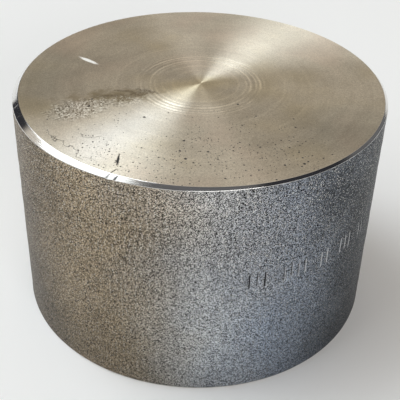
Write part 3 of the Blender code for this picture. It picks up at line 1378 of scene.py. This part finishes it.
    def chamfer_foot(self) -> np.ndarray:
        """Height of the chamfer's lower edge on the wall.

        The cone drops from the face by as much as the wall is further from the chamfer's centre
        than the cone's top circle. It wavers a little, and the dents lower it.

        Returns:
            The height for each column.
        """
        x = self.radius * np.cos(self.angles) - self.chamfer_centre[0]
        y = self.radius * np.sin(self.angles) - self.chamfer_centre[1]
        inner = self.radius - self.chamfer
        wave = self.wave(self.angles, np.zeros(1), self.uneven.foot_waves, self.seed + 3)
        waver = self.uneven.chamfer_foot * wave
        return self.length - (np.hypot(x, y) - inner) + waver - self.dent_at_foot * self.dents()

    def dents(self) -> np.ndarray:
        """How deep the chamfer is dented, for each column."""
        return sum(nick.dent(self.angles, self.radius) for nick in self.nicks)

    def wall_rows(self) -> np.ndarray:
        """The outside wall, slightly uneven, with the punched mark.

        The rings are level up to a little below the chamfer. From there four more climb to the
        chamfer's foot, which is not level.

        Returns:
            Points by row and column.
        """
        low, middle = self.mouth_edge, self.mark.middle
        margin, below_foot = 0.6 * MM, 0.04 * MM
        half = 0.5 * self.mark.tall + margin
        level_top = self.length - 2.6 * MM
        below = np.linspace(low, middle - half, self.fine.below_mark)[:-1]
        marked = np.linspace(middle - half, middle + half, self.fine.across_mark)
        above = np.linspace(middle + half, level_top, self.fine.above_mark)[1:]
        level = np.concatenate((below, marked, above))
        heights = np.repeat(level[:, None], self.columns, axis=1)
        foot = self.chamfer_foot()
        last = heights[-1]
        climb = np.array([0.35, 0.7, 0.93, 1.0])[:, None]
        heights = np.concatenate((heights, last + climb * (foot - below_foot - last)))
        wave = self.wave(self.angles[None, :], heights, self.uneven.wall_waves, self.seed)
        dip = np.clip(self.uneven.wall_dip * (1.0 + wave), 0.0, self.uneven.deepest_dip)
        fade = np.clip((heights - low) / self.uneven.fade, 0.0, 1.0)
        cut = self.mark.cut(self.angles[None, :], heights, self.radius)
        return self.circles(self.radius - dip * fade - cut, heights)

    def face_rows(self) -> np.ndarray:
        """The chamfer's cone, then the face with its tool marks, in to the middle.

        The cone runs straight from its foot on the wall to its top circle, less the dents, which
        are deepest halfway up. On the face, the rings' centre moves from the chamfer's own centre
        to the axis over the outer tenth. The face is the top plane less shallow ring-shaped cuts.

        Returns:
            Points by row and column.
        """
        inner = self.radius - self.chamfer
        direction = np.stack((np.cos(self.angles), np.sin(self.angles)), axis=-1)
        centre = np.array(self.chamfer_centre)
        foot = self.chamfer_foot()
        foot_points = self.radius * direction
        top_points = centre + inner * direction
        share = self.chamfer_shares
        flat = foot_points[None] + share[:, None, None] * (top_points - foot_points)[None]
        dented = self.dent_on_cone * np.sin(math.pi * share)[:, None] * self.dents()
        flat -= dented[..., None] * direction[None]
        height = foot[None] + share[:, None] * (self.length - foot)[None]
        rounded = 0.012 * MM
        height[-1] -= rounded
        chamfer = np.concatenate((flat, height[..., None]), axis=-1)

        radii = self.face_radii(inner)
        drift = np.clip((radii / inner - 0.9) / 0.1, 0.0, 1.0)
        flat = drift[:, None, None] * centre + radii[:, None, None] * direction[None]
        height = self.length - self.tool_marks(radii)[:, None] * np.ones(self.columns)
        face = np.concatenate((flat, height[..., None]), axis=-1)
        return np.concatenate((chamfer, face))

    def face_radii(self, inner: float) -> np.ndarray:
        """Where the face's rings are, from the chamfer in: closest where the deep grooves are.

        Args:
            inner: The radius of the chamfer's top edge.

        Returns:
            The radii, falling.
        """
        edge = inner - np.array([0.06, 0.16, 0.45]) * MM
        grooved_in, grooved_out = (place * self.radius for place in self.grooved_band)
        dimple_out, dimple_in = 1.8 * MM, 0.15 * MM
        return np.concatenate((
            edge[:2],
            np.linspace(edge[2], grooved_out, self.fine.outer_face)[:-1],
            np.linspace(grooved_out, grooved_in, self.fine.grooved_face)[:-1],
            np.linspace(grooved_in, 2.0 * MM, self.fine.inner_face),
            np.linspace(dimple_out, dimple_in, self.fine.dimple),
        ))

    def tool_marks(self, radii: np.ndarray) -> np.ndarray:
        """Depth of the face below its top plane.

        Shallow waves of the feed, the ring-shaped grooves, each a bell curve across its width,
        and a small dimple in the middle.

        Args:
            radii: Distances from the middle.

        Returns:
            The depth at each.
        """
        chance = np.random.default_rng(self.seed + 20)
        depth = np.zeros(len(radii))
        for _ in range(self.uneven.face_wave_count):
            length = chance.uniform(*self.uneven.face_waves) * MM
            size = self.uneven.face_depth * (length / MM)
            phase = chance.uniform(0.0, FULL_TURN)
            depth += size * (1.0 + np.sin(FULL_TURN * radii / length + phase))
        for groove in FACE_GROOVES:
            away = (radii - groove.place * self.radius) / groove.half_width
            depth += groove.depth * np.exp(-(away**2))
        return depth + self.dimple_depth * np.exp(-((radii / self.dimple_half_width) ** 2))

    def build(self, groups: SharedGroups) -> bpy.types.Object:
        """Make the mesh, with a material for each region.

        Args:
            groups: The shared node groups.

        Returns:
            The cap's object.
        """
        hole, thread = self.hole_rows(), self.thread_rows()
        outside = [self.rim_rows(), self.wall_rows(), self.face_rows()]
        parts = [hole, thread] + outside
        hole_tip = np.array([[0.0, 0.0, self.hole_depth]])
        face_tip = np.array([[0.0, 0.0, self.length - self.dimple_depth]])
        points = np.concatenate([hole_tip] + [part.reshape(-1, 3) for part in parts] + [face_tip])
        starts = 1 + np.concatenate(([0], np.cumsum([len(part) for part in parts]))) * self.columns
        faces, regions = self.faces(starts, [len(part) for part in parts], len(points) - 1)
        mesh = bpy.data.meshes.new("cap_body_finished")
        mesh.from_pydata(points.tolist(), [], faces)
        for finish in self.finishes():
            mesh.materials.append(finish.material(groups, self.radius))
        mesh.polygons.foreach_set("material_index", regions)
        on_wall = points[starts[3]: starts[4]]
        struck = np.zeros(len(points), dtype=np.float32)
        struck[starts[3]: starts[4]] = self.mark.share(on_wall, self.radius)
        mesh.attributes.new(PUNCHED, "FLOAT", "POINT").data.foreach_set("value", struck)
        mesh.shade_smooth()
        mesh.update()
        made = bpy.data.objects.new("cap_body_finished", mesh)
        bpy.context.scene.collection.objects.link(made)
        return made

    def faces(self, starts: np.ndarray, rows: list[int], last: int) -> tuple[list, np.ndarray]:
        """The quads and triangles between all the rows.

        Args:
            starts: Index of the first point of each part: hole, thread, rim, wall, face.
            rows: Rows in each part.
            last: Index of the face's middle point.

        Returns:
            The faces, and the region of each.
        """
        bends = len(self.thread.row_places())
        step = np.arange(self.columns)
        after = (step + 1) % self.columns
        faces: list = []
        regions: list[int] = []

        def keep(added: np.ndarray, region: Region) -> None:
            """Add faces of one region."""
            faces.extend(added.tolist())
            regions.extend([region.value] * len(added))

        def between(lower: np.ndarray, upper: np.ndarray) -> np.ndarray:
            """Quads between whole rings, given the index of each ring's first point."""
            return corners(lower[:, None] + step, lower[:, None] + after,
                           upper[:, None] + after, upper[:, None] + step)

        def rings(first: int, count: int) -> np.ndarray:
            """First points of neighbouring rings."""
            return first + np.arange(count) * self.columns

        keep(corners(np.zeros_like(step), starts[0] + after, starts[0] + step), Region.BORE)
        hole = rings(starts[0], rows[0])
        keep(between(hole[:-1], hole[1:]), Region.BORE)
        self.join_thread(keep, hole[-1], starts[1], rows[1], starts[2], bends)
        outside = rings(starts[2], rows[2] + rows[3] + rows[4])
        rim_end = rows[2]
        wall_end = rim_end + rows[3]
        chamfer_end = wall_end + len(self.chamfer_shares)
        keep(between(outside[: rim_end - 1], outside[1:rim_end]), Region.RIM)
        keep(between(outside[rim_end - 1: wall_end - 1], outside[rim_end:wall_end]), Region.WALL)
        chamfer = outside[wall_end - 1: chamfer_end]
        keep(between(chamfer[:-1], chamfer[1:]), Region.CHAMFER)
        keep(between(outside[chamfer_end - 1: -1], outside[chamfer_end:]), Region.FACE)
        innermost = outside[-1]
        keep(corners(np.full_like(step, last), innermost + step, innermost + after), Region.FACE)
        return faces, np.array(regions, dtype=np.int32)

    def join_thread(self, keep: FaceKeeper, above: int, first: int, count: int, below: int,
                    bends: int) -> None:
        """Faces of the thread, whose rows join one pitch apart where the turn closes.

        Args:
            keep: Adds faces of one region.
            above: Index of the first point of the bore's last ring.
            first: Index of the thread's first point.
            count: Rows in the thread.
            below: Index of the first point of the rim's first ring.
            bends: Rows in one pitch.
        """
        wide = self.columns
        end = wide - 1
        step = np.arange(end)
        row = first + np.arange(count - 1)[:, None] * wide
        under = row + wide
        keep(corners(row + step, row + step + 1, under + step + 1, under + step), Region.THREAD)
        here = first + np.arange(bends, count - 1) * wide + end
        there = here - end - bends * wide
        keep(corners(here, there, there + wide, here + wide), Region.THREAD)

        keep(corners(above + step, above + step + 1, first + step + 1, first + step), Region.BORE)
        seam = [first + level * wide + end for level in range(bends, -1, -1)]
        fan = np.array([first] + seam + [above + end])
        keep(corners(np.full_like(fan[1:], above), fan[:-1], fan[1:]), Region.BORE)

        bottom = first + (count - 1) * wide
        keep(corners(bottom + step, bottom + step + 1, below + step + 1, below + step), Region.THREAD)
        seam = [first + level * wide for level in range(count - 1 - bends, count)]
        fan = np.array([bottom + end] + seam + [below])
        keep(corners(np.full_like(fan[1:], below + end), fan[:-1], fan[1:]), Region.THREAD)

    @staticmethod
    def finishes() -> list[Finish]:
        """One finish for each region.

        Returns:
            The finishes, in the regions' order.
        """
        return [
            CutSteel("bored_steel", 0.42),
            CutSteel("threaded_steel", 0.34, fineness=3200.0),
            CutSteel("rim_steel", 0.36),
            BlastedWall("blasted_steel", 0.50),
            TurnedChamfer("bright_chamfer", 0.10),
            TurnedFace("turned_face", 0.41, anisotropy=0.93),
        ]


# ---------------------------------------------------------------------------
# The studio
# ---------------------------------------------------------------------------


@dataclass(frozen=True)
class SoftBox:
    """A rectangular soft light that faces the cap."""

    name: str
    azimuth: float
    elevation: float
    distance: float
    width: float
    height: float
    power: float
    colour: tuple[float, float, float] = (1.0, 1.0, 1.0)

    def build(self, aim: Vector) -> bpy.types.Object:
        """Make the light.

        Args:
            aim: The point that it faces.

        Returns:
            The light's object.
        """
        azimuth, elevation = math.radians(self.azimuth), math.radians(self.elevation)
        away = Vector((math.cos(elevation) * math.cos(azimuth), math.cos(elevation) * math.sin(azimuth),
                       math.sin(elevation)))
        light = bpy.data.lights.new(self.name, "AREA")
        light.shape = "RECTANGLE"
        light.size, light.size_y = self.width, self.height
        light.energy, light.color = self.power, self.colour
        made = bpy.data.objects.new(self.name, light)
        made.location = aim + away * self.distance
        made.rotation_euler = away.to_track_quat("Z", "Y").to_euler()
        made.visible_camera = False
        bpy.context.scene.collection.objects.link(made)
        return made


@dataclass(frozen=True)
class Surrounding:
    """A glow or a shade of the surroundings: which way it lies and its colour.

    Outer and inner are the cosines of the angles where it starts and where it is full.
    """

    way: tuple[float, float, float]
    outer: float
    inner: float
    colour: Colour


@dataclass
class Studio:
    """Floor, lights, surroundings and camera."""

    camera_place: tuple[float, float, float] = (0.0, -0.15533, 0.12994)
    camera_aim: tuple[float, float, float] = (0.00066, -0.00043, 0.02)
    camera_roll: float = math.radians(1.81)
    lens: float = 76.41
    floor_half: float = 6.0
    floor_colour: Colour = (0.93, 0.93, 0.93, 1.0)
    floor_roughness: float = 0.9
    backdrop: Colour = (0.90, 0.90, 0.90, 1.0)
    room: Colour = (0.50, 0.485, 0.45, 1.0)
    surroundings: tuple[Surrounding, ...] = (
        Surrounding((0.0, 0.75, 0.66), -0.30, 0.80, (0.60, 0.545, 0.47, 1.0)),
        Surrounding((0.02, -0.64, 0.77), 0.82, 0.93, (0.14, 0.14, 0.145, 1.0)),
        Surrounding((0.86, 0.42, 0.29), 0.78, 0.93, (0.14, 0.14, 0.145, 1.0)),
        Surrounding((0.72, -0.20, 0.67), 0.88, 0.95, (0.03, 0.03, 0.035, 1.0)),
        Surrounding((-0.61, 0.78, 0.15), 0.89, 0.94, (0.03, 0.03, 0.035, 1.0)),
    )
    light_aim: tuple[float, float, float] = (0.0, 0.0, 0.03)
    lights: tuple[SoftBox, ...] = (
        SoftBox("high_key", 156.0, 62.0, 2.7, 1.4, 1.2, 23.0, (0.86, 0.94, 1.0)),
        SoftBox("wide_left", 182.0, 40.0, 2.7, 3.7, 1.6, 29.0, (0.86, 0.94, 1.0)),
        SoftBox("front_fill", 286.0, 21.0, 2.7, 2.0, 1.1, 34.0, (1.0, 1.0, 1.0)),
    )

    def build(self) -> None:
        """Build everything round the cap."""
        self.build_floor()
        self.build_world()
        for light in self.lights:
            light.build(Vector(self.light_aim))
        self.build_camera()
        scene = bpy.context.scene
        scene.view_settings.view_transform = "Standard"
        scene.view_settings.look = "None"

    def build_floor(self) -> None:
        """A plain pale floor under the rim."""
        half = self.floor_half
        corner_points = [(-half, -half, 0.0), (half, -half, 0.0), (half, half, 0.0), (-half, half, 0.0)]
        mesh = bpy.data.meshes.new("floor")
        mesh.from_pydata(corner_points, [], [(0, 1, 2, 3)])
        material = bpy.data.materials.new("pale_floor")
        material.use_nodes = True
        shader = material.node_tree.nodes["Principled BSDF"]
        shader.inputs["Base Color"].default_value = self.floor_colour
        shader.inputs["Roughness"].default_value = self.floor_roughness
        mesh.materials.append(material)
        floor = bpy.data.objects.new("floor", mesh)
        bpy.context.scene.collection.objects.link(floor)

    def build_world(self) -> None:
        """Soft surroundings: a glow overhead and behind, and four shades.

        The shade is deep high on the right and low at the back left, and lighter high in front
        and low on the right. The camera sees a plain pale backdrop instead.
        """
        world = bpy.data.worlds.new("studio")
        world.use_nodes = True
        bpy.context.scene.world = world
        graph = Graph(world.node_tree)
        background = world.node_tree.nodes["Background"]
        direction = graph.add("ShaderNodeTexCoord").outputs["Generated"]
        colour: Value = self.room
        for part in self.surroundings:
            there = graph.facing(direction, part.way, part.outer, part.inner)
            colour = graph.mix(there, colour, part.colour)
        seen = graph.add("ShaderNodeLightPath").outputs["Is Camera Ray"]
        graph.put(background.inputs["Color"], graph.mix(seen, colour, self.backdrop))
        background.inputs["Strength"].default_value = 1.0

    def build_camera(self) -> None:
        """The camera, looking down on the cap with a slight roll."""
        camera = bpy.data.cameras.new("camera")
        camera.lens = self.lens
        made = bpy.data.objects.new("camera", camera)
        place, aim = Vector(self.camera_place), Vector(self.camera_aim)
        made.location = place
        level = (place - aim).to_track_quat("Z", "Y")
        made.rotation_euler = (level @ Quaternion((0.0, 0.0, 1.0), self.camera_roll)).to_euler()
        bpy.context.scene.collection.objects.link(made)
        bpy.context.scene.camera = made


def main() -> None:
    """Build the cap and its studio."""
    logging.basicConfig(level=logging.INFO, format="%(message)s")
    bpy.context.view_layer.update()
    low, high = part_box(CAD_NODE)
    cap = CapBody(radius=0.5 * (high[0] - low[0]), length=high[2] - low[2])
    piece = cap.build(SharedGroups.build())
    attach(piece, "root")
    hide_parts(CAD_NODE)
    log.info("%s: %d faces, %d columns", piece.name, len(piece.data.polygons), cap.columns)
    Studio().build()
    log.info("studio: floor, lights, surroundings and camera")


if __name__ == "__main__":
    main()
